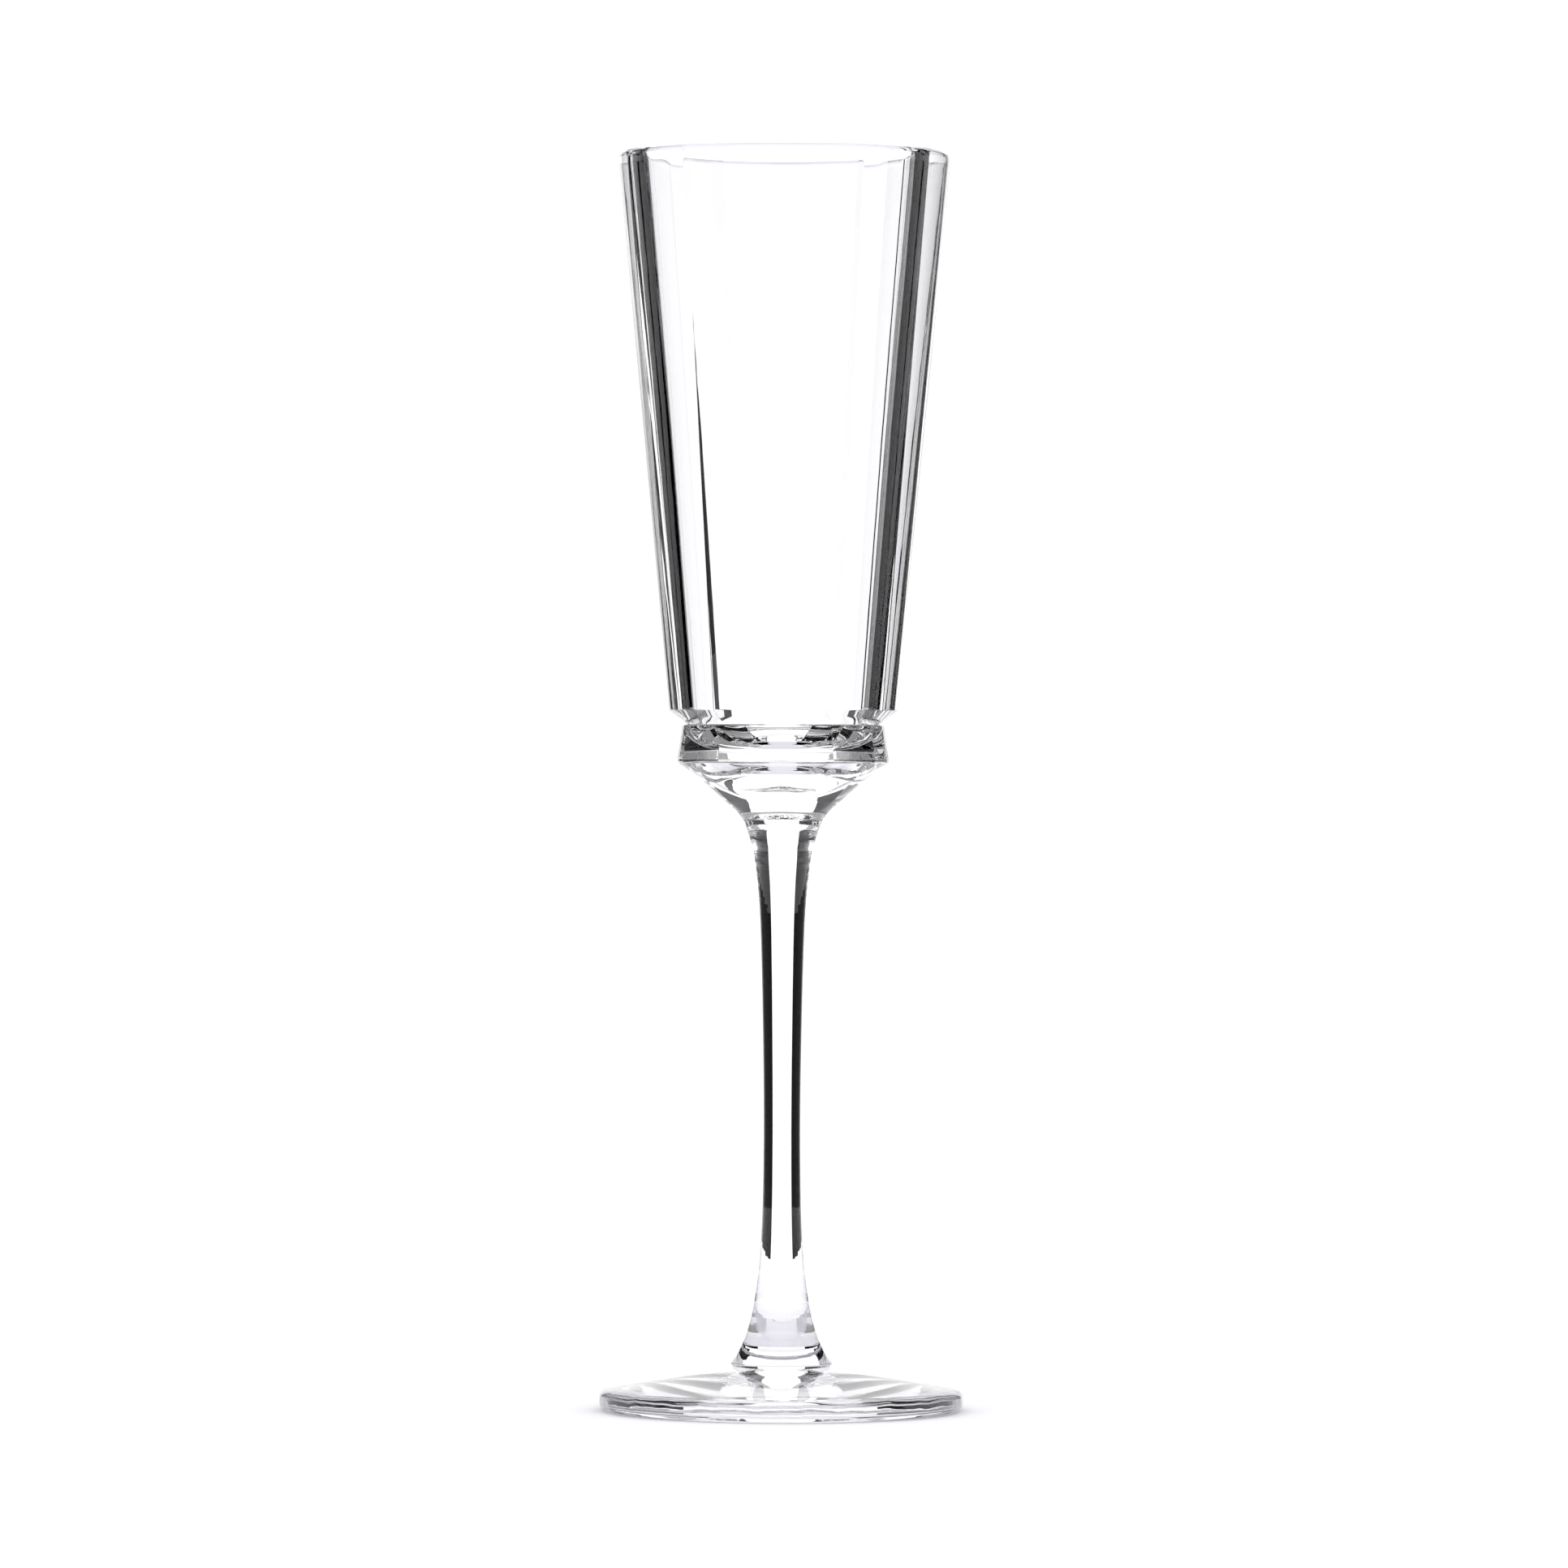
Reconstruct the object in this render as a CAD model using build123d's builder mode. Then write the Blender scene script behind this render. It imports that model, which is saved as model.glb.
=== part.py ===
from build123d import *

import os
from math import asin, degrees

# ---------------------------------------------------------------------------
# Faceted champagne flute, in millimetres. +Z is up and the origin is the
# centre of the circle that the foot stands on. The glass is made as three
# pieces, which the maker welds hot: the bowl, the stem and the foot.
# ---------------------------------------------------------------------------

# Heights
overall_height = 232.2
lip_height = 1.8
facet_foot_height = 129.4
neck_height = 126.5
ring_edge_height = 119.8
taper_upper_height = 117.1
taper_lower_height = 113.7
collar_top_height = 110.6
bowl_seam_height = 109.2
foot_seam_height = 8.2

# Outside of the bowl, measured to the middle of a wide panel
rim_radius = 30.7
facet_foot_radius = 21.3
neck_radius = 17.3
ring_top_radius = 18.7
ring_edge_radius = 19.7
taper_upper_radius = 15.7
taper_lower_radius = 11.9
collar_radius = 8.4
bowl_seam_radius = 7.4

# Section of the bowl: four wide bowed panels with a narrow flat facet between.
# The half angle is from a panel's middle to its corner, and the bow is the
# radius at the panel's middle divided by the radius at its corners.
outer_half_angle = 30.9
outer_bow = 0.951
inner_half_angle = 39.8
inner_bow = 0.972

# Inside of the bowl
rim_wall = 2.1
mid_wall_height = 180.0
mid_wall = 3.0
cavity_wall_height = 127.8
cavity_wall_radius = 17.6
cavity_shoulder_height = 125.0
cavity_shoulder_radius = 14.8
cavity_turn_height = 121.4
cavity_turn_radius = 10.5
cavity_floor_height = 120.9
cavity_floor_radius = 6.0
rim_rounding = 0.8

# Stem, as the radius at each height
under_collar_radius, under_collar_height = 6.3, 106.2
upper_flare_radius, upper_flare_height = 5.1, 101.2
upper_rod_radius, upper_rod_height = 4.05, 88.0
waist_radius, waist_height = 3.4, 56.0
lower_rod_radius, lower_rod_height = 3.75, 33.0
lower_flare_radius, lower_flare_height = 5.1, 20.0
skirt_radius, skirt_height = 7.1, 12.8
shoulder_radius, shoulder_height = 9.45, 8.7
foot_seam_radius = 9.1

# Foot
foot_radius = 33.7
foot_edge_thickness = 3.7
foot_edge_rounding = 0.9
foot_top_radius = 31.8
foot_top_height = 4.2
foot_slope_radius = 19.5
foot_slope_height = 6.3
rest_ring_outer = 32.7
rest_ring_inner = 28.6
foot_bevel_height = 1.1
foot_recess_depth = 0.6
recess_radius = (rest_ring_inner**2 + foot_recess_depth**2) / (2 * foot_recess_depth)
recess_angle = degrees(asin(rest_ring_inner / recess_radius))

os.makedirs("parts", exist_ok=True)


def outer_radius(height):
    """Radius of the bowl's outside between the foot of the facets and the lip."""
    share = (height - facet_foot_height) / (overall_height - lip_height - facet_foot_height)
    return facet_foot_radius + share * (rim_radius - facet_foot_radius)


def panel_section(panel_radius, height, half_angle, bow):
    """Return an eight-sided section of the bowl at a height."""
    corner = Vector(panel_radius / bow, 0)
    middle = Vector(panel_radius, 0)
    with BuildSketch(Plane.XY.offset(height)) as section:
        with BuildLine():
            for turn in range(4):
                facing = 90 * turn
                first = corner.rotate(Axis.Z, facing - half_angle)
                last = corner.rotate(Axis.Z, facing + half_angle)
                following = corner.rotate(Axis.Z, facing + 90 - half_angle)
                ThreePointArc(first, middle.rotate(Axis.Z, facing), last)
                Line(last, following)
        make_face()
    return section.sketch


def outside_section(panel_radius, height):
    """Return a section of the bowl's outside."""
    return panel_section(panel_radius, height, outer_half_angle, outer_bow)


def inside_section(panel_radius, height):
    """Return a section of the bowl's hollow."""
    return panel_section(panel_radius, height, inner_half_angle, inner_bow)


# Bowl: the faceted wall, the grooved neck, the ring and the solid tapered base
outside = [
    outside_section(rim_radius, overall_height),
    outside_section(rim_radius, overall_height - lip_height),
    outside_section(facet_foot_radius, facet_foot_height),
    outside_section(neck_radius, neck_height),
]
ring = [
    outside_section(ring_top_radius, neck_height),
    outside_section(ring_edge_radius, ring_edge_height),
    outside_section(taper_upper_radius, taper_upper_height),
    outside_section(taper_lower_radius, taper_lower_height),
    outside_section(collar_radius, collar_top_height),
]

# Hollow for the wine: eased at the lip, and its wall thickens down to the floor
hollow = [
    inside_section(rim_radius - rim_wall + rim_rounding, overall_height),
    inside_section(rim_radius - rim_wall, overall_height - rim_rounding),
    inside_section(rim_radius - rim_wall, overall_height - lip_height),
    inside_section(outer_radius(mid_wall_height) - mid_wall, mid_wall_height),
    inside_section(cavity_wall_radius, cavity_wall_height),
    inside_section(cavity_shoulder_radius, cavity_shoulder_height),
    inside_section(cavity_turn_radius, cavity_turn_height),
    inside_section(cavity_floor_radius, cavity_floor_height),
]

with BuildPart() as bowl:
    loft(outside, ruled=True)
    loft(ring, ruled=True)

    # Round collar where the stem is welded on
    with BuildSketch(Plane.XY.offset(collar_top_height)):
        Circle(collar_radius)
    with BuildSketch(Plane.XY.offset(bowl_seam_height)):
        Circle(bowl_seam_radius)
    loft()

    loft(hollow, ruled=True, mode=Mode.SUBTRACT)

    # Fire-polished rim, rounded outside and eased inside
    rim_edges = bowl.faces().sort_by(Axis.Z)[-1].outer_wire().edges()
    fillet(rim_edges, rim_rounding)

# Stem: drawn down to a waist and flared to a shoulder over the foot
with BuildPart() as stem:
    with BuildSketch(Plane.XZ):
        with BuildLine():
            side = Spline(
                (bowl_seam_radius, bowl_seam_height),
                (under_collar_radius, under_collar_height),
                (upper_flare_radius, upper_flare_height),
                (upper_rod_radius, upper_rod_height),
                (waist_radius, waist_height),
                (lower_rod_radius, lower_rod_height),
                (lower_flare_radius, lower_flare_height),
                (skirt_radius, skirt_height),
                (shoulder_radius, shoulder_height),
            )
            Line(side @ 1, (foot_seam_radius, foot_seam_height))
            Polyline(
                (foot_seam_radius, foot_seam_height),
                (0, foot_seam_height),
                (0, bowl_seam_height),
                (bowl_seam_radius, bowl_seam_height),
            )
        make_face()
    revolve(axis=Axis.Z)

# Foot: a shallow cone with a blunt edge and a hollowed underside
with BuildPart() as foot:
    with BuildSketch(Plane.XZ):
        with BuildLine():
            Line((0, foot_seam_height), (foot_seam_radius, foot_seam_height))
            ThreePointArc(
                (foot_seam_radius, foot_seam_height),
                (foot_slope_radius, foot_slope_height),
                (foot_top_radius, foot_top_height),
            )
            Line((foot_top_radius, foot_top_height), (foot_radius - foot_edge_rounding, foot_edge_thickness))
            RadiusArc(
                (foot_radius - foot_edge_rounding, foot_edge_thickness),
                (foot_radius, foot_edge_thickness - foot_edge_rounding),
                foot_edge_rounding,
            )
            Polyline(
                (foot_radius, foot_edge_thickness - foot_edge_rounding),
                (foot_radius, foot_bevel_height),
                (rest_ring_outer, 0),
                (rest_ring_inner, 0),
            )
            CenterArc((0, foot_recess_depth - recess_radius), recess_radius, 90, -recess_angle)
            Line((0, foot_recess_depth), (0, foot_seam_height))
        make_face()
    revolve(axis=Axis.Z)

bowl.part.label = "bowl"
stem.part.label = "stem"
foot.part.label = "foot"

export_step(bowl.part, "parts/bowl.step")
export_step(stem.part, "parts/stem.step")
export_step(foot.part, "parts/foot.step")
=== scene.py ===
"""Studio scene of a faceted champagne flute, made of three pieces of clear glass welded hot."""

import logging
from dataclasses import dataclass
from enum import Enum
from functools import lru_cache
from math import atan2, cos, hypot, pi, radians, sin, sqrt, tau

import bmesh
import bpy
from mathutils import Matrix, Vector


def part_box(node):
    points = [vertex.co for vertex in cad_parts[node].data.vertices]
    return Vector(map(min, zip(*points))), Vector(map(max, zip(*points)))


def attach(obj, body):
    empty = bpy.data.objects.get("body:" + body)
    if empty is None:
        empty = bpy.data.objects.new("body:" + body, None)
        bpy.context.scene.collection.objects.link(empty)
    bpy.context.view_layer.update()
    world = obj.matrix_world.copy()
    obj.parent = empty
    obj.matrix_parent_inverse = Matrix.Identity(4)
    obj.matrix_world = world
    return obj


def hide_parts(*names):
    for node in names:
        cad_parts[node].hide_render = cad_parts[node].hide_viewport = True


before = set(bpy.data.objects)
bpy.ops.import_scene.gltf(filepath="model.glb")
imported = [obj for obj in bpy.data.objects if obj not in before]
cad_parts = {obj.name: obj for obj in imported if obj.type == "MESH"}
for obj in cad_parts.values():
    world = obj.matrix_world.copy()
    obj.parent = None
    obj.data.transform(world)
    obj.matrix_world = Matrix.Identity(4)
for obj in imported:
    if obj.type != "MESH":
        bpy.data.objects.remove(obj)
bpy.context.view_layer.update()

MM = 0.001
HAIR = 0.001 * MM
SEAM_RADIUS = 7.4 * MM
log = logging.getLogger("flute")


class Face(Enum):
    """Material slots of a glass piece."""

    SKIN = 0
    WELD = 1


class Grain(Enum):
    """Which way the faint ripple of the glass is drawn out, as a stretch along X, Y and Z."""

    UPRIGHT = (1.0, 1.0, 0.10)
    DRAWN = (1.0, 1.0, 0.25)
    ROUND = (0.5, 0.5, 2.5)


def ripple_group() -> bpy.types.NodeTree:
    """Make the node group for the ripple that a mould and the fire leave on glass.

    Returns:
        A group that turns a place into the height of the ripple there.
    """
    group = bpy.data.node_groups.new("fire_ripple", "ShaderNodeTree")
    socket = group.interface.new_socket
    socket("Vector", in_out="INPUT", socket_type="NodeSocketVector")
    for name, value in (("Broad Scale", 120.0), ("Fine Scale", 500.0), ("Fine Share", 0.3)):
        socket(name, in_out="INPUT", socket_type="NodeSocketFloat").default_value = value
    socket("Height", in_out="OUTPUT", socket_type="NodeSocketFloat")
    nodes, links = group.nodes, group.links
    inside, outside = nodes.new("NodeGroupInput"), nodes.new("NodeGroupOutput")
    broad, fine = nodes.new("ShaderNodeTexNoise"), nodes.new("ShaderNodeTexNoise")
    join = nodes.new("ShaderNodeMath")
    join.operation = "MULTIPLY_ADD"
    for noise, scale in ((broad, "Broad Scale"), (fine, "Fine Scale")):
        noise.inputs["Detail"].default_value = 1.0
        links.new(inside.outputs["Vector"], noise.inputs["Vector"])
        links.new(inside.outputs[scale], noise.inputs["Scale"])
    links.new(fine.outputs["Fac"], join.inputs[0])
    links.new(inside.outputs["Fine Share"], join.inputs[1])
    links.new(broad.outputs["Fac"], join.inputs[2])
    links.new(join.outputs["Value"], outside.inputs["Height"])
    return group


def seed_group() -> bpy.types.NodeTree:
    """Make the node group for the fine bubbles that lie along a hot weld.

    Returns:
        A group that gives the bubbles' height in a band about a weld's level.
    """
    group = bpy.data.node_groups.new("weld_seeds", "ShaderNodeTree")
    socket = group.interface.new_socket
    socket("Vector", in_out="INPUT", socket_type="NodeSocketVector")
    for name, value in (("Level", 0.1), ("Half Width", 0.001), ("Scale", 1500.0)):
        socket(name, in_out="INPUT", socket_type="NodeSocketFloat").default_value = value
    socket("Height", in_out="OUTPUT", socket_type="NodeSocketFloat")
    nodes, links = group.nodes, group.links
    inside, outside = nodes.new("NodeGroupInput"), nodes.new("NodeGroupOutput")
    split, cells = nodes.new("ShaderNodeSeparateXYZ"), nodes.new("ShaderNodeTexVoronoi")
    away, reach, ratio, band = (nodes.new("ShaderNodeMath") for _ in range(4))
    product = nodes.new("ShaderNodeMath")
    away.operation, reach.operation, ratio.operation = "SUBTRACT", "ABSOLUTE", "DIVIDE"
    band.operation, product.operation = "SUBTRACT", "MULTIPLY"
    band.inputs[0].default_value = 1.0
    band.use_clamp = True
    links.new(inside.outputs["Vector"], split.inputs["Vector"])
    links.new(inside.outputs["Vector"], cells.inputs["Vector"])
    links.new(inside.outputs["Scale"], cells.inputs["Scale"])
    links.new(split.outputs["Z"], away.inputs[0])
    links.new(inside.outputs["Level"], away.inputs[1])
    links.new(away.outputs["Value"], reach.inputs[0])
    links.new(reach.outputs["Value"], ratio.inputs[0])
    links.new(inside.outputs["Half Width"], ratio.inputs[1])
    links.new(ratio.outputs["Value"], band.inputs[1])
    links.new(band.outputs["Value"], product.inputs[0])
    links.new(cells.outputs["Distance"], product.inputs[1])
    links.new(product.outputs["Value"], outside.inputs["Height"])
    return group


@dataclass(frozen=True)
class ClearGlass:
    """Colourless fire-polished glass with the soft ripple that a hot mould leaves."""

    name: str
    grain: Grain
    weld_level: float
    ripple_depth: float = 0.012 * MM
    seed_depth: float = 0.03 * MM
    seed_band: float = 0.9 * MM
    broad_scale: float = 160.0
    fine_scale: float = 700.0
    tint: tuple[float, float, float] = (0.992, 0.990, 0.996)
    shade: tuple[float, float, float] = (0.975, 0.972, 0.988)
    refraction: float = 1.55

    def build(self, ripple: bpy.types.NodeTree, seeds: bpy.types.NodeTree) -> bpy.types.Material:
        """Make the material.

        Args:
            ripple: Node group of the ripple.
            seeds: Node group of the bubbles along a weld.

        Returns:
            A Principled glass whose surface carries the ripple and the bubbles.
        """
        material = bpy.data.materials.new(self.name)
        material.use_nodes = True
        nodes, links = material.node_tree.nodes, material.node_tree.links
        shader = nodes["Principled BSDF"]
        shader.inputs["Roughness"].default_value = 0.0
        shader.inputs["IOR"].default_value = self.refraction
        shader.inputs["Transmission Weight"].default_value = 1.0
        place, stretch = nodes.new("ShaderNodeTexCoord"), nodes.new("ShaderNodeMapping")
        stretch.inputs["Scale"].default_value = self.grain.value
        waves, bubbles = nodes.new("ShaderNodeGroup"), nodes.new("ShaderNodeGroup")
        waves.node_tree, bubbles.node_tree = ripple, seeds
        waves.inputs["Broad Scale"].default_value = self.broad_scale
        waves.inputs["Fine Scale"].default_value = self.fine_scale
        bubbles.inputs["Level"].default_value = self.weld_level
        bubbles.inputs["Half Width"].default_value = self.seed_band
        wave_bump, seed_bump = nodes.new("ShaderNodeBump"), nodes.new("ShaderNodeBump")
        wave_bump.inputs["Distance"].default_value = self.ripple_depth
        seed_bump.inputs["Distance"].default_value = self.seed_depth
        colour = nodes.new("ShaderNodeMix")
        colour.data_type = "RGBA"
        colour.inputs["A"].default_value = (*self.tint, 1.0)
        colour.inputs["B"].default_value = (*self.shade, 1.0)
        links.new(place.outputs["Object"], stretch.inputs["Vector"])
        links.new(stretch.outputs["Vector"], waves.inputs["Vector"])
        links.new(place.outputs["Object"], bubbles.inputs["Vector"])
        links.new(waves.outputs["Height"], wave_bump.inputs["Height"])
        links.new(bubbles.outputs["Height"], seed_bump.inputs["Height"])
        links.new(wave_bump.outputs["Normal"], seed_bump.inputs["Normal"])
        links.new(seed_bump.outputs["Normal"], shader.inputs["Normal"])
        links.new(waves.outputs["Height"], colour.inputs["Factor"])
        links.new(colour.outputs["Result"], shader.inputs["Base Color"])
        return material


@dataclass(frozen=True)
class WeldFace:
    """The fused face between two pieces, which light crosses without bending."""

    name: str = "weld_face"

    def build(self) -> bpy.types.Material:
        """Make the fully open material."""
        material = bpy.data.materials.new(self.name)
        material.use_nodes = True
        material.node_tree.nodes["Principled BSDF"].inputs["Alpha"].default_value = 0.0
        return material


@dataclass(frozen=True)
class Corner:
    """One corner of a turned profile."""

    radius: float
    height: float
    rounding: float = 0.0


@dataclass(frozen=True)
class PanelLayout:
    """Eight-sided section: four wide bowed panels with a narrow facet between them."""

    wide_half_angle: float
    bow: float
    narrow_share: float
    wide_steps: int = 48
    narrow_steps: int = 24

    @lru_cache(maxsize=None)
    def azimuth(self, step: int) -> float:
        """Direction of a step, with the steps drawn close together at the corners.

        Args:
            step: Which step of the turn.

        Returns:
            The azimuth in radians, counted from a panel's middle.
        """
        quarter, place = divmod(step + self.wide_steps // 2, self.wide_steps + self.narrow_steps)
        if place <= self.wide_steps:
            local = -self.wide_half_angle * cos(pi * place / self.wide_steps)
        else:
            half = pi / 4 - self.wide_half_angle
            local = pi / 4 - half * cos(pi * (place - self.wide_steps) / self.narrow_steps)
        return quarter * pi / 2 + local

    def panel(self, away: float, half: float, middle: float) -> float:
        """How far an arc through two corners at radius 1 / bow stands out.

        Args:
            away: Angle from the panel's middle.
            half: Angle from the panel's middle to its corners.
            middle: Distance of the panel's middle from the axis.

        Returns:
            The distance from the axis.
        """
        corner = 1 / self.bow
        lean = 2 * (corner * cos(half) - middle)
        if abs(lean) < 1e-6:
            return middle / cos(away)
        offset = (corner**2 - middle**2) / lean
        bulge = middle - offset
        root = sqrt(max(bulge**2 - (offset * sin(away)) ** 2, 0.0))
        return offset * cos(away) + (root if bulge > 0 else -root)

    @lru_cache(maxsize=None)
    def reach(self, azimuth: float, softness: float) -> float:
        """How far the outline stands out in a direction.

        Args:
            azimuth: Direction in radians.
            softness: How much the corners are rounded, as a share of the radius.

        Returns:
            The distance from the axis, where the middle of a wide panel is at 1.
        """
        away = abs((azimuth + pi / 4) % (pi / 2) - pi / 4)
        half = pi / 4 - self.wide_half_angle
        corner = 1 / self.bow
        flat = corner * cos(half)
        wide = self.panel(away, self.wide_half_angle, 1.0)
        narrow = self.panel(pi / 4 - away, half, flat + 0.999 * self.narrow_share * (corner - flat))
        blend = max(softness - abs(wide - narrow), 0.0) / softness
        return min(wide, narrow) - blend**2 * softness / 4


@dataclass
class GlassPiece:
    """A piece of glass turned from a profile."""

    name: str = ""
    node: str = ""
    steps: int = 96
    guard: float = 0.12 * MM
    longest_run: float = 4 * MM
    rounding_segments: int = 5

    def corners(self) -> list[Corner]:
        """Corners of the profile, from the axis round to the axis again."""
        raise NotImplementedError

    def weld_heights(self) -> tuple[float, ...]:
        """Heights of the flat faces that are fused to another piece."""
        raise NotImplementedError

    def place(self, radius: float, height: float, step: int) -> tuple[float, float, float]:
        """Where a turned point goes in the finished piece.

        Args:
            radius: Turned radius of the point.
            height: Height of the point.
            step: Which step of the turn the point is on.

        Returns:
            The finished radius, azimuth and height.
        """
        return radius, step * tau / self.steps, height

    def chain(self, bm: bmesh.types.BMesh) -> list[tuple[bmesh.types.BMVert, float]]:
        """Draw the profile as a chain of edges.

        Args:
            bm: Where the chain is drawn.

        Returns:
            The corners that get rounded, each with its rounding.
        """
        corners = self.corners()
        made: list[bmesh.types.BMVert] = []
        rounded: list[tuple[bmesh.types.BMVert, float]] = []
        for here, there in zip(corners, corners[1:] + corners[-1:]):
            start = Vector((here.radius, 0, here.height))
            end = Vector((there.radius, 0, there.height))
            made.append(bm.verts.new(start))
            if here.rounding:
                rounded.append((made[-1], here.rounding))
            run = (end - start).length
            near = here.rounding + self.guard
            far = run - there.rounding - self.guard
            if run < 4 * self.guard or far <= near:
                continue
            count = max(1, round((far - near) / self.longest_run))
            for part in range(count + 1):
                along = (near + (far - near) * part / count) / run
                made.append(bm.verts.new(start.lerp(end, along)))
        for first, second in zip(made, made[1:]):
            bm.edges.new((first, second))
        return rounded

    def turn(self) -> bmesh.types.BMesh:
        """Spin the profile into a closed solid.

        Returns:
            The bmesh of the solid.
        """
        bm = bmesh.new()
        for vertex, width in self.chain(bm):
            bmesh.ops.bevel(
                bm,
                geom=[vertex],
                offset=width,
                offset_type="OFFSET",
                segments=self.rounding_segments,
                profile=0.5,
                affect="VERTICES",
                material=-1,
            )
        bmesh.ops.spin(
            bm,
            geom=bm.verts[:] + bm.edges[:],
            cent=(0, 0, 0),
            axis=(0, 0, 1),
            dvec=(0, 0, 0),
            angle=tau,
            steps=self.steps,
            use_merge=True,
            use_normal_flip=False,
            use_duplicate=False,
        )
        bmesh.ops.remove_doubles(bm, verts=bm.verts[:], dist=HAIR)
        bmesh.ops.recalc_face_normals(bm, faces=bm.faces[:])
        return bm

    def press(self, bm: bmesh.types.BMesh) -> None:
        """Press the turned solid into its mould's shape.

        Args:
            bm: The solid, changed in place.
        """
        for vertex in bm.verts:
            radius = hypot(vertex.co.x, vertex.co.y)
            if radius < HAIR:
                continue
            step = round(atan2(vertex.co.y, vertex.co.x) / tau * self.steps) % self.steps
            reach, azimuth, height = self.place(radius, vertex.co.z, step)
            vertex.co = (reach * cos(azimuth), reach * sin(azimuth), height)

    def build(self, skin: bpy.types.Material, weld: bpy.types.Material) -> bpy.types.Object:
        """Make the piece and hang it on the frame.

        Args:
            skin: Glass of the outside.
            weld: Open face between fused pieces.

        Returns:
            The finished object.
        """
        bm = self.turn()
        welds = self.weld_heights()
        for face in bm.faces:
            face.smooth = True
            height = face.calc_center_median().z
            level = any(abs(height - weld_height) < 0.01 * MM for weld_height in welds)
            if level and abs(face.normal.z) > 0.999:
                face.material_index = Face.WELD.value
                face.smooth = False
        self.press(bm)
        mesh = bpy.data.meshes.new(self.name)
        bm.to_mesh(mesh)
        bm.free()
        mesh.materials.append(skin)
        mesh.materials.append(weld)
        piece = bpy.data.objects.new(self.name, mesh)
        bpy.context.scene.collection.objects.link(piece)
        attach(piece, "root")
        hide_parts(self.node)
        log.info("%s: %d faces", self.name, len(mesh.polygons))
        return piece


@dataclass
class Bowl(GlassPiece):
    """The panelled hollow over a grooved neck, a ring and a solid tapered base."""

    name: str = "bowl_glass"
    node: str = "bowl"
    steps: int = 288
    outside: PanelLayout = PanelLayout(radians(30.9), 0.951, 0.04)
    inside: PanelLayout = PanelLayout(radians(39.8), 0.972, 0.45)
    rim_height: float = 0.0
    seam_height: float = 0.0
    rim_radius: float = 0.0
    seam_radius: float = SEAM_RADIUS
    lip_height: float = 1.8 * MM
    facet_foot: Corner = Corner(21.2 * MM, 129.4 * MM, 0.12 * MM)
    neck: Corner = Corner(17.3 * MM, 126.5 * MM, 0.2 * MM)
    ring_top: Corner = Corner(18.7 * MM, 126.8 * MM, 0.35 * MM)
    ring_edge: Corner = Corner(19.7 * MM, 119.8 * MM, 0.45 * MM)
    taper: tuple[Corner, ...] = (
        Corner(15.7 * MM, 117.1 * MM, 1.5 * MM),
        Corner(11.9 * MM, 113.7 * MM, 1.5 * MM),
    )
    collar: Corner = Corner(8.4 * MM, 110.6 * MM, 0.3 * MM)
    rim_wall: float = 2.1 * MM
    mid_wall: Corner = Corner(22.85 * MM, 180 * MM, 1.0 * MM)
    foot_wall: Corner = Corner(17.6 * MM, 127.8 * MM, 1.2 * MM)
    cavity_shoulder: Corner = Corner(14.8 * MM, 125.0 * MM, 2.0 * MM)
    cavity_floor: Corner = Corner(10.5 * MM, 121.4 * MM, 3.0 * MM)
    cavity_height: float = 120.9 * MM
    corner_softness: float = 0.06 * MM
    inner_softness: float = 0.10 * MM
    lip_softness: float = 1.2 * MM
    lip_blend: float = 0.6
    lip_polish: float = 0.45
    lip_corner: float = 0.4 * MM
    collar_blend: float = 2.0 * MM

    def hollow(self) -> list[Corner]:
        """Corners of the inside, from the lip down to the floor."""
        inner = self.rim_radius - self.rim_wall
        return [
            Corner(inner, self.rim_height - self.lip_height, self.lip_corner),
            self.mid_wall,
            self.foot_wall,
            self.cavity_shoulder,
            self.cavity_floor,
            Corner(0, self.cavity_height),
        ]

    def corners(self) -> list[Corner]:
        """Corners from the seam round the outside, over the lip and down to the cavity floor."""
        inner = self.rim_radius - self.rim_wall
        polish = self.lip_polish * self.rim_wall
        return [
            Corner(0, self.seam_height),
            Corner(self.seam_radius, self.seam_height),
            self.collar,
            *reversed(self.taper),
            self.ring_edge,
            self.ring_top,
            self.neck,
            self.facet_foot,
            Corner(self.rim_radius, self.rim_height - self.lip_height, self.lip_corner),
            Corner(self.rim_radius, self.rim_height, polish),
            Corner(inner, self.rim_height, polish),
            *self.hollow(),
        ]

    def weld_heights(self) -> tuple[float, ...]:
        """The seam with the stem."""
        return (self.seam_height,)

    def hollow_radius(self, height: float) -> float:
        """Radius of the inside at a height, from its corners."""
        corners = self.hollow()
        if height >= corners[0].height:
            return corners[0].radius
        for upper, lower in zip(corners, corners[1:]):
            if lower.height <= height:
                share = (height - lower.height) / (upper.height - lower.height)
                return lower.radius + share * (upper.radius - lower.radius)
        return -1.0

    def place(self, radius: float, height: float, step: int) -> tuple[float, float, float]:
        """Panel the wall, the ring and the base, and leave the collar and the lip round."""
        lip = max(0.0, 1 - (self.rim_height - height) / self.lip_height)
        across = (radius - self.hollow_radius(height)) / (self.lip_blend * self.rim_wall)
        outer_share = min(1.0, max(0.0, across))
        even = step * tau / self.steps
        turned, factor = 0.0, 0.0
        for layout, crispness, share in (
            (self.outside, self.corner_softness, outer_share),
            (self.inside, self.inner_softness, 1 - outer_share),
        ):
            if not share:
                continue
            softness = crispness + (self.lip_softness - crispness) * lip**2
            azimuth = layout.azimuth(step)
            azimuth = even + (azimuth - even) * (1 - lip)
            turned += share * azimuth
            factor += share * layout.reach(azimuth, round(softness / radius, 5))
        panelled = min(1.0, max(0.0, (height - self.collar.height) / self.collar_blend))
        return radius * (1 + panelled * (factor - 1)), turned, height


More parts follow.
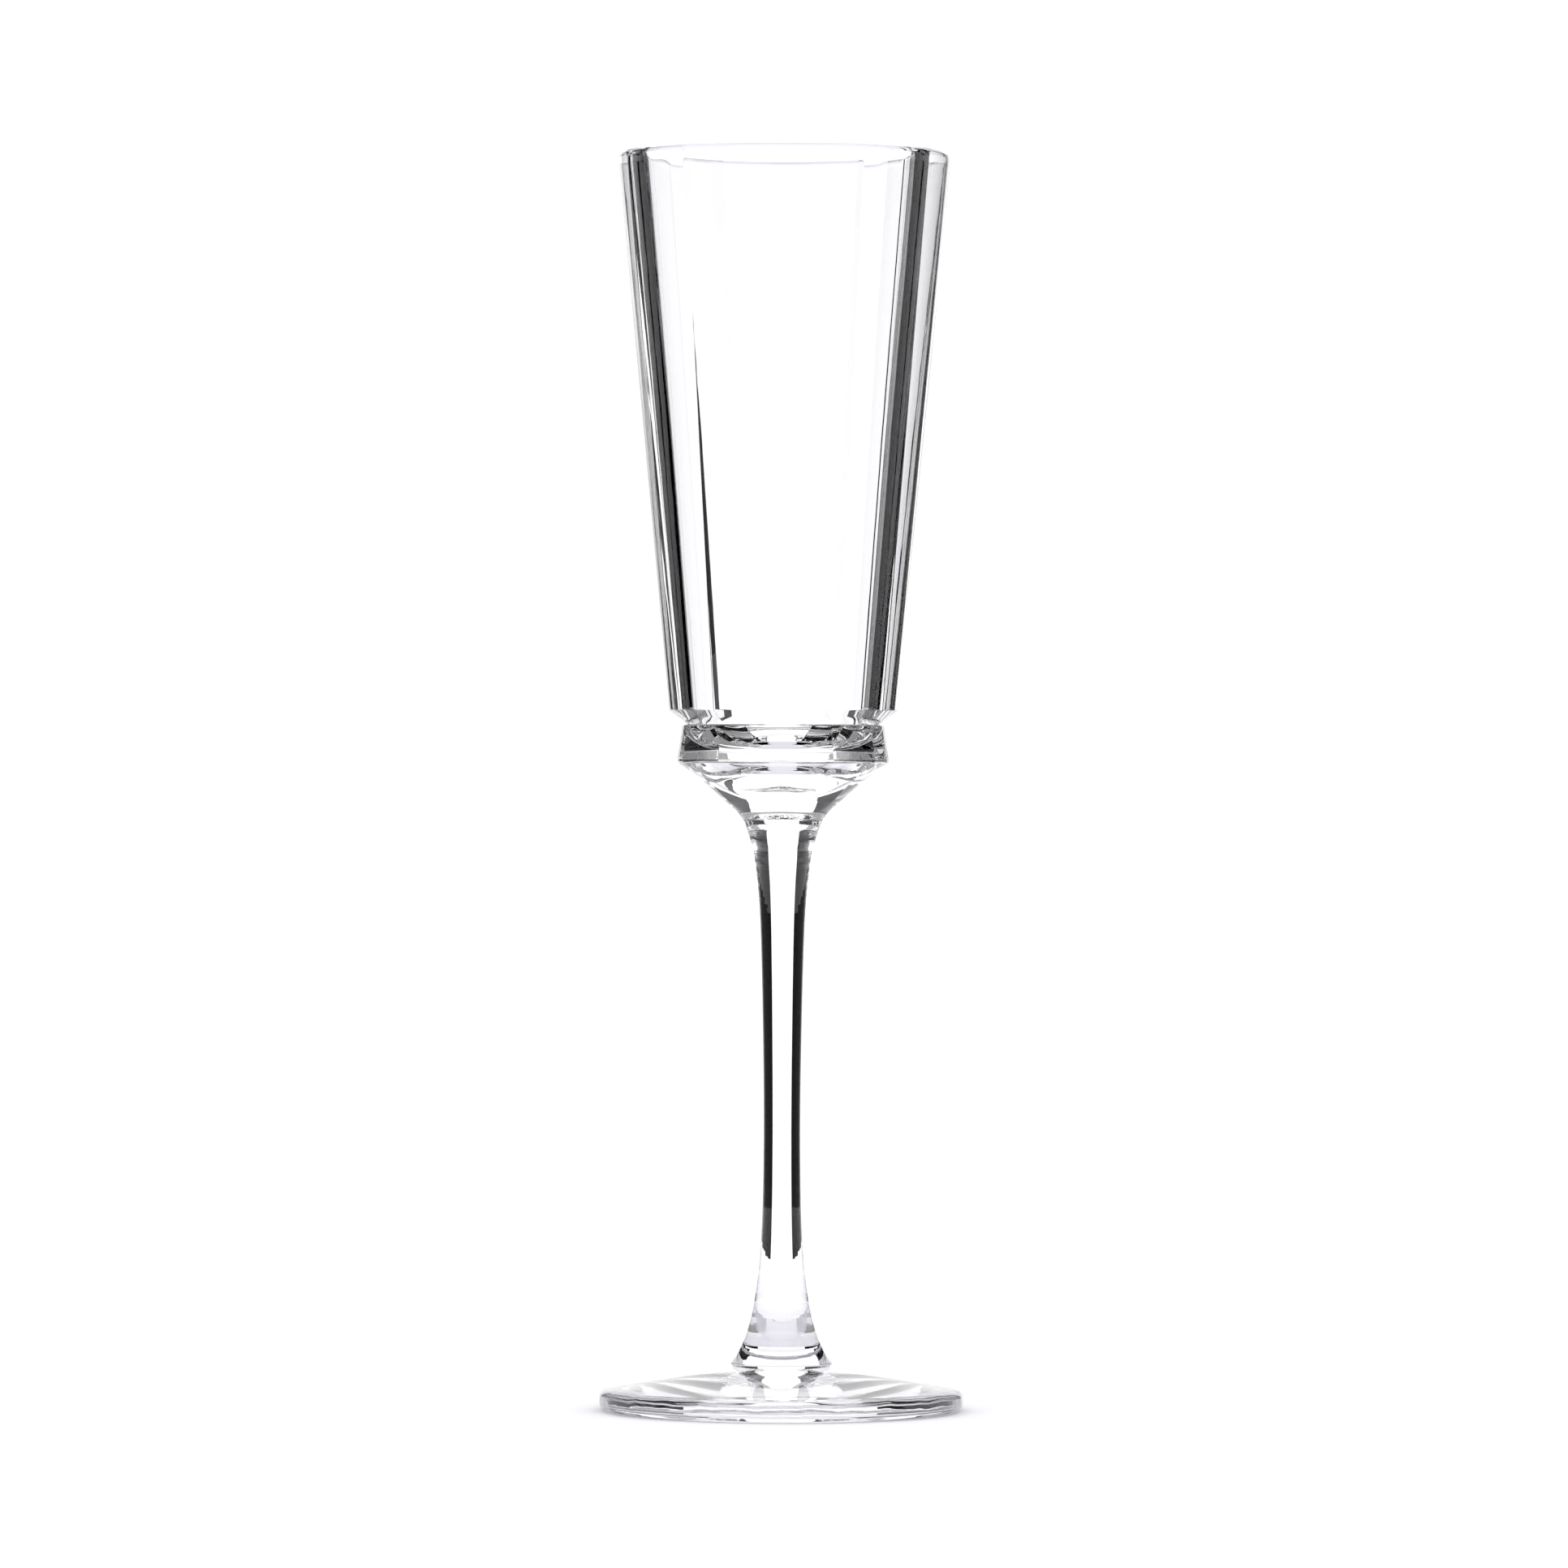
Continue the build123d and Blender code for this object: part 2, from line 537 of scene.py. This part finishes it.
@dataclass
class Stem(GlassPiece):
    """The slim waisted rod, flared into the bowl and into the foot."""

    name: str = "stem_glass"
    node: str = "stem"
    top_height: float = 0.0
    top_radius: float = SEAM_RADIUS
    foot_height: float = 0.0
    foot_radius: float = 9.1 * MM
    stations: tuple[tuple[float, float], ...] = (
        (6.3 * MM, 106.2 * MM),
        (5.1 * MM, 101.2 * MM),
        (4.05 * MM, 88.0 * MM),
        (3.4 * MM, 56.0 * MM),
        (3.75 * MM, 33.0 * MM),
        (5.1 * MM, 20.0 * MM),
        (7.1 * MM, 12.8 * MM),
        (9.45 * MM, 8.7 * MM),
    )
    station_steps: int = 10

    def corners(self) -> list[Corner]:
        """Corners from the foot seam up a smooth line through the stations to the bowl seam."""
        line = [(self.foot_radius, self.foot_height), *reversed(self.stations)]
        line.append((self.top_radius, self.top_height))
        smooth = [Corner(0, self.foot_height), Corner(*line[0])]
        for index in range(1, len(line) - 1):
            before, here, there = line[index - 1], line[index], line[index + 1]
            after = line[min(index + 2, len(line) - 1)]
            if index == 1:
                before = here
            for part in range(self.station_steps):
                share = part / self.station_steps
                smooth.append(Corner(*(
                    catmull(share, before[axis], here[axis], there[axis], after[axis]) for axis in range(2)
                )))
        smooth.append(Corner(self.top_radius, self.top_height))
        smooth.append(Corner(0, self.top_height))
        return smooth

    def weld_heights(self) -> tuple[float, ...]:
        """The seams with the foot and the bowl."""
        return (self.foot_height, self.top_height)


@dataclass
class Foot(GlassPiece):
    """The round foot, a shallow cone with a blunt edge and a hollowed underside."""

    name: str = "foot_glass"
    node: str = "foot"
    steps: int = 240
    radius: float = 0.0
    seam_height: float = 0.0
    seam_radius: float = 9.1 * MM
    edge_height: float = 3.7 * MM
    edge_rounding: float = 0.9 * MM
    edge_lean: float = 0.1 * MM
    bevel_width: float = 1.0 * MM
    bevel_height: float = 1.1 * MM
    bevel_rounding: float = 0.5 * MM
    rest_rounding: float = 0.4 * MM
    shoulder_radius: float = 31.8 * MM
    shoulder_height: float = 4.2 * MM
    rest_inner: float = 28.6 * MM
    recess_depth: float = 0.6 * MM
    slope_radius: float = 19.5 * MM
    slope_height: float = 6.3 * MM
    curve_steps: int = 20
    wave_height: float = 0.10 * MM
    wave_inset: float = 0.4
    wave_start: float = 0.3
    waves: tuple[tuple[int, float, float], ...] = (
        (13, 0.4, 1.0),
        (29, 1.9, 0.7),
        (53, 4.1, 0.45),
        (97, 2.6, 0.2),
    )

    def corners(self) -> list[Corner]:
        """Corners from the middle of the underside round the edge to the seam."""
        under = []
        for part in range(self.curve_steps):
            share = part / self.curve_steps
            under.append(Corner(share * self.rest_inner, self.recess_depth * (1 - share**2)))
        top = []
        for part in range(1, self.curve_steps):
            share = part / self.curve_steps
            radius = self.shoulder_radius + (self.seam_radius - self.shoulder_radius) * share
            top.append(Corner(radius, self.slope(radius)))
        return [
            *under,
            Corner(self.rest_inner, 0, self.rest_rounding),
            Corner(self.radius - self.bevel_width, 0, self.bevel_rounding),
            Corner(self.radius, self.bevel_height, self.bevel_rounding),
            Corner(self.radius - self.edge_lean, self.edge_height, self.edge_rounding),
            Corner(self.shoulder_radius, self.shoulder_height),
            *top,
            Corner(self.seam_radius, self.seam_height),
            Corner(0, self.seam_height),
        ]

    def slope(self, radius: float) -> float:
        """Height of the top, on a parabola through the shoulder, the slope's middle and the seam."""
        spots = ((self.shoulder_radius, self.shoulder_height), (self.slope_radius, self.slope_height),
                 (self.seam_radius, self.seam_height))
        height = 0.0
        for one, (place, value) in enumerate(spots):
            weight = 1.0
            for other, (another, _) in enumerate(spots):
                if other != one:
                    weight *= (radius - another) / (place - another)
            height += weight * value
        return height

    def place(self, radius: float, height: float, step: int) -> tuple[float, float, float]:
        """Leave the edge gently wavy, as the fire polish does."""
        azimuth = step * tau / self.steps
        wave = sum(share * sin(count * azimuth + phase) for count, phase, share in self.waves)
        rim = max(0.0, (radius - self.shoulder_radius) / (self.radius - self.shoulder_radius))
        upper = min(1.0, height / self.edge_height)
        return (
            radius - rim * self.wave_height * self.wave_inset * (1 + wave) * (self.wave_start + upper),
            azimuth,
            height + rim * upper * self.wave_height * wave,
        )

    def weld_heights(self) -> tuple[float, ...]:
        """The seam with the stem."""
        return (self.seam_height,)


def catmull(share: float, before: float, here: float, there: float, after: float) -> float:
    """Point on a smooth line through four values.

    Args:
        share: How far along from here to there.
        before: Value before here.
        here: Value at 0.
        there: Value at 1.
        after: Value after there.

    Returns:
        The value at the share.
    """
    slope_here, slope_there = (there - before) / 2, (after - here) / 2
    step = there - here
    return (
        here
        + slope_here * share
        + (3 * step - 2 * slope_here - slope_there) * share**2
        + (slope_here + slope_there - 2 * step) * share**3
    )


@dataclass
class Studio:
    """Pale floor and white surroundings, with cards on each side of the backdrop.

    The flag is dark and gives the glass its dark edges. The wing behind it is grey and is seen
    through the glass, and the shade just inside the wing is dark and is seen only in reflections.
    """

    floor_radius: float = 3.0
    floor_tone: tuple[float, float, float] = (0.86, 0.855, 0.885)
    floor_roughness: float = 0.6
    floor_steps: int = 96
    card_steps: int = 24
    light: float = 1.25
    below: tuple[float, float, float] = (0.68, 0.67, 0.72)
    dusk_start: float = -0.60
    dusk_end: float = -0.12
    card_distance: float = 0.9
    flag_start: float = radians(22.5)
    flag_end: float = radians(65)
    card_bottom: float = -0.12
    card_top: float = 1.2
    flag_tone: float = 0.0
    wing_tone: float = 0.3
    shade_gap: float = 0.02

    def build(self, camera: bpy.types.Object) -> None:
        """Put up the floor, the surroundings and the cards.

        Args:
            camera: The cards stand about what this camera looks at, and travel with it.
        """
        self.build_floor()
        self.build_world()
        for side in (-1, 1):
            self.build_card(camera, "flag", side, self.flag_start, self.flag_end, self.flag_tone)
            self.build_card(camera, "wing", side, self.flag_end, pi, self.wing_tone)
            shade = self.build_card(camera, "shade", side, self.flag_end, pi, self.flag_tone, self.shade_gap)
            shade.visible_transmission = False

    def build_floor(self) -> None:
        """Lay the floor."""
        bm = bmesh.new()
        bmesh.ops.create_circle(bm, cap_ends=True, segments=self.floor_steps, radius=self.floor_radius)
        floor = add_object("floor", bm)
        material = bpy.data.materials.new("pale_floor")
        material.use_nodes = True
        shader = material.node_tree.nodes["Principled BSDF"]
        shader.inputs["Base Color"].default_value = (*self.floor_tone, 1)
        shader.inputs["Roughness"].default_value = self.floor_roughness
        shader.inputs["Specular IOR Level"].default_value = 0.0
        floor.data.materials.append(material)
        floor.visible_transmission = False

    def build_world(self) -> None:
        """Surround the scene with soft white light, a little greyer from steeply below."""
        world = bpy.data.worlds.new("studio")
        world.use_nodes = True
        nodes, links = world.node_tree.nodes, world.node_tree.links
        place, split = nodes.new("ShaderNodeTexCoord"), nodes.new("ShaderNodeSeparateXYZ")
        rise, colour = nodes.new("ShaderNodeMapRange"), nodes.new("ShaderNodeMix")
        rise.inputs["From Min"].default_value = self.dusk_start
        rise.inputs["From Max"].default_value = self.dusk_end
        rays, plain = nodes.new("ShaderNodeLightPath"), nodes.new("ShaderNodeMath")
        plain.operation = "MAXIMUM"
        colour.data_type = "RGBA"
        colour.inputs["A"].default_value = (*self.below, 1)
        colour.inputs["B"].default_value = (1, 1, 1, 1)
        background = nodes["Background"]
        background.inputs["Strength"].default_value = self.light
        links.new(place.outputs["Generated"], split.inputs["Vector"])
        links.new(split.outputs["Z"], rise.inputs["Value"])
        links.new(rise.outputs["Result"], plain.inputs[0])
        links.new(rays.outputs["Is Camera Ray"], plain.inputs[1])
        links.new(plain.outputs["Value"], colour.inputs["Factor"])
        links.new(colour.outputs["Result"], background.inputs["Color"])
        bpy.context.scene.world = world

    def build_card(self, camera: bpy.types.Object, name: str, side: int, start: float, end: float,
                   tone: float, gap: float = 0.0) -> bpy.types.Object:
        """Stand a curved card on one side of the glass.

        Args:
            camera: Camera that the card travels with.
            name: What kind of card it is.
            side: -1 for the left and 1 for the right.
            start: Angle from the backdrop's middle to the card's near edge.
            end: Angle from the backdrop's middle to the card's far edge.
            tone: How bright the card is.
            gap: How much nearer than the other cards it stands.

        Returns:
            The card.
        """
        away = self.card_distance - gap
        heading = -camera.matrix_world.to_3x3().col[2]
        bm = bmesh.new()
        low = bm.verts.new((0, away, self.card_bottom))
        high = bm.verts.new((0, away, self.card_top))
        edge = bm.edges.new((low, high))
        bmesh.ops.rotate(bm, verts=[low, high], cent=(0, 0, 0),
                         matrix=Matrix.Rotation(-side * start, 3, "Z"))
        bmesh.ops.spin(bm, geom=[low, high, edge], cent=(0, 0, 0), axis=(0, 0, 1), dvec=(0, 0, 0),
                       angle=-side * (end - start), steps=self.card_steps)
        turn = Matrix.Rotation(atan2(heading.y, heading.x) - pi / 2, 4, "Z")
        bmesh.ops.transform(bm, verts=bm.verts[:], matrix=turn)
        card = add_object(f"{name}_{'left' if side < 0 else 'right'}", bm)
        card.data.materials.append(glowing(name, tone))
        card.visible_camera = False
        card.visible_diffuse = False
        card.visible_shadow = False
        card.parent = camera
        card.matrix_parent_inverse = camera.matrix_world.inverted()
        return card


def add_object(name: str, bm: bmesh.types.BMesh) -> bpy.types.Object:
    """Turn a bmesh into an object in the scene."""
    mesh = bpy.data.meshes.new(name)
    bm.to_mesh(mesh)
    bm.free()
    made = bpy.data.objects.new(name, mesh)
    bpy.context.scene.collection.objects.link(made)
    return made


def glowing(name: str, tone: float) -> bpy.types.Material:
    """Make a card's material, which gives off an even light and reflects none."""
    material = bpy.data.materials.new(name)
    material.use_nodes = True
    shader = material.node_tree.nodes["Principled BSDF"]
    shader.inputs["Base Color"].default_value = (0, 0, 0, 1)
    shader.inputs["Specular IOR Level"].default_value = 0.0
    shader.inputs["Emission Color"].default_value = (1, 1, 1, 1)
    shader.inputs["Emission Strength"].default_value = tone
    return material


@dataclass
class Viewpoint:
    """Level camera at mid height, a little to the right of the front panel."""

    distance: float = 1.61
    azimuth: float = radians(4.3)
    height: float = 115.8 * MM
    lens: float = 200.0
    sideways: float = 0.19 * MM
    lean: float = radians(0.167)

    def build(self) -> bpy.types.Object:
        """Make the scene's camera.

        Returns:
            The camera object.
        """
        data = bpy.data.cameras.new("camera")
        data.lens = self.lens
        data.sensor_width = 36.0
        camera = bpy.data.objects.new("camera", data)
        bpy.context.scene.collection.objects.link(camera)
        right = Vector((cos(self.azimuth), sin(self.azimuth), 0))
        back = Vector((sin(self.azimuth), -cos(self.azimuth), 0))
        camera.location = back * self.distance + right * self.sideways + Vector((0, 0, self.height))
        facing = Matrix((right, Vector((0, 0, 1)), back)).transposed()
        camera.rotation_euler = (facing @ Matrix.Rotation(self.lean, 3, "Z")).to_euler()
        bpy.context.scene.camera = camera
        bpy.context.view_layer.update()
        return camera


def tune_render(scene: bpy.types.Scene) -> None:
    """Give light enough bounces to cross every wall of the glass.

    Args:
        scene: The scene to set up.
    """
    scene.view_settings.view_transform = "Standard"
    scene.cycles.max_bounces = 32
    scene.cycles.transmission_bounces = 32
    scene.cycles.glossy_bounces = 16
    scene.cycles.transparent_max_bounces = 32
    scene.cycles.use_denoising = True


def main() -> None:
    """Build the flute, the studio and the camera."""
    logging.basicConfig(level=logging.INFO, format="%(name)s %(message)s")
    ripple, seeds = ripple_group(), seed_group()
    weld = WeldFace().build()
    bowl_low, bowl_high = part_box("bowl")
    stem_low, stem_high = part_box("stem")
    _, foot_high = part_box("foot")
    pieces = (
        (
            Bowl(
                rim_height=bowl_high.z,
                seam_height=bowl_low.z,
                rim_radius=bowl_high.x,
            ),
            ClearGlass("bowl_crystal", Grain.UPRIGHT, bowl_low.z),
        ),
        (
            Stem(top_height=stem_high.z, foot_height=stem_low.z),
            ClearGlass("stem_crystal", Grain.DRAWN, stem_high.z),
        ),
        (
            Foot(radius=foot_high.x, seam_height=foot_high.z),
            ClearGlass("foot_crystal", Grain.ROUND, foot_high.z),
        ),
    )
    for piece, glass in pieces:
        piece.build(glass.build(ripple, seeds), weld)
    camera = Viewpoint().build()
    Studio().build(camera)
    tune_render(bpy.context.scene)


if __name__ == "__main__":
    main()
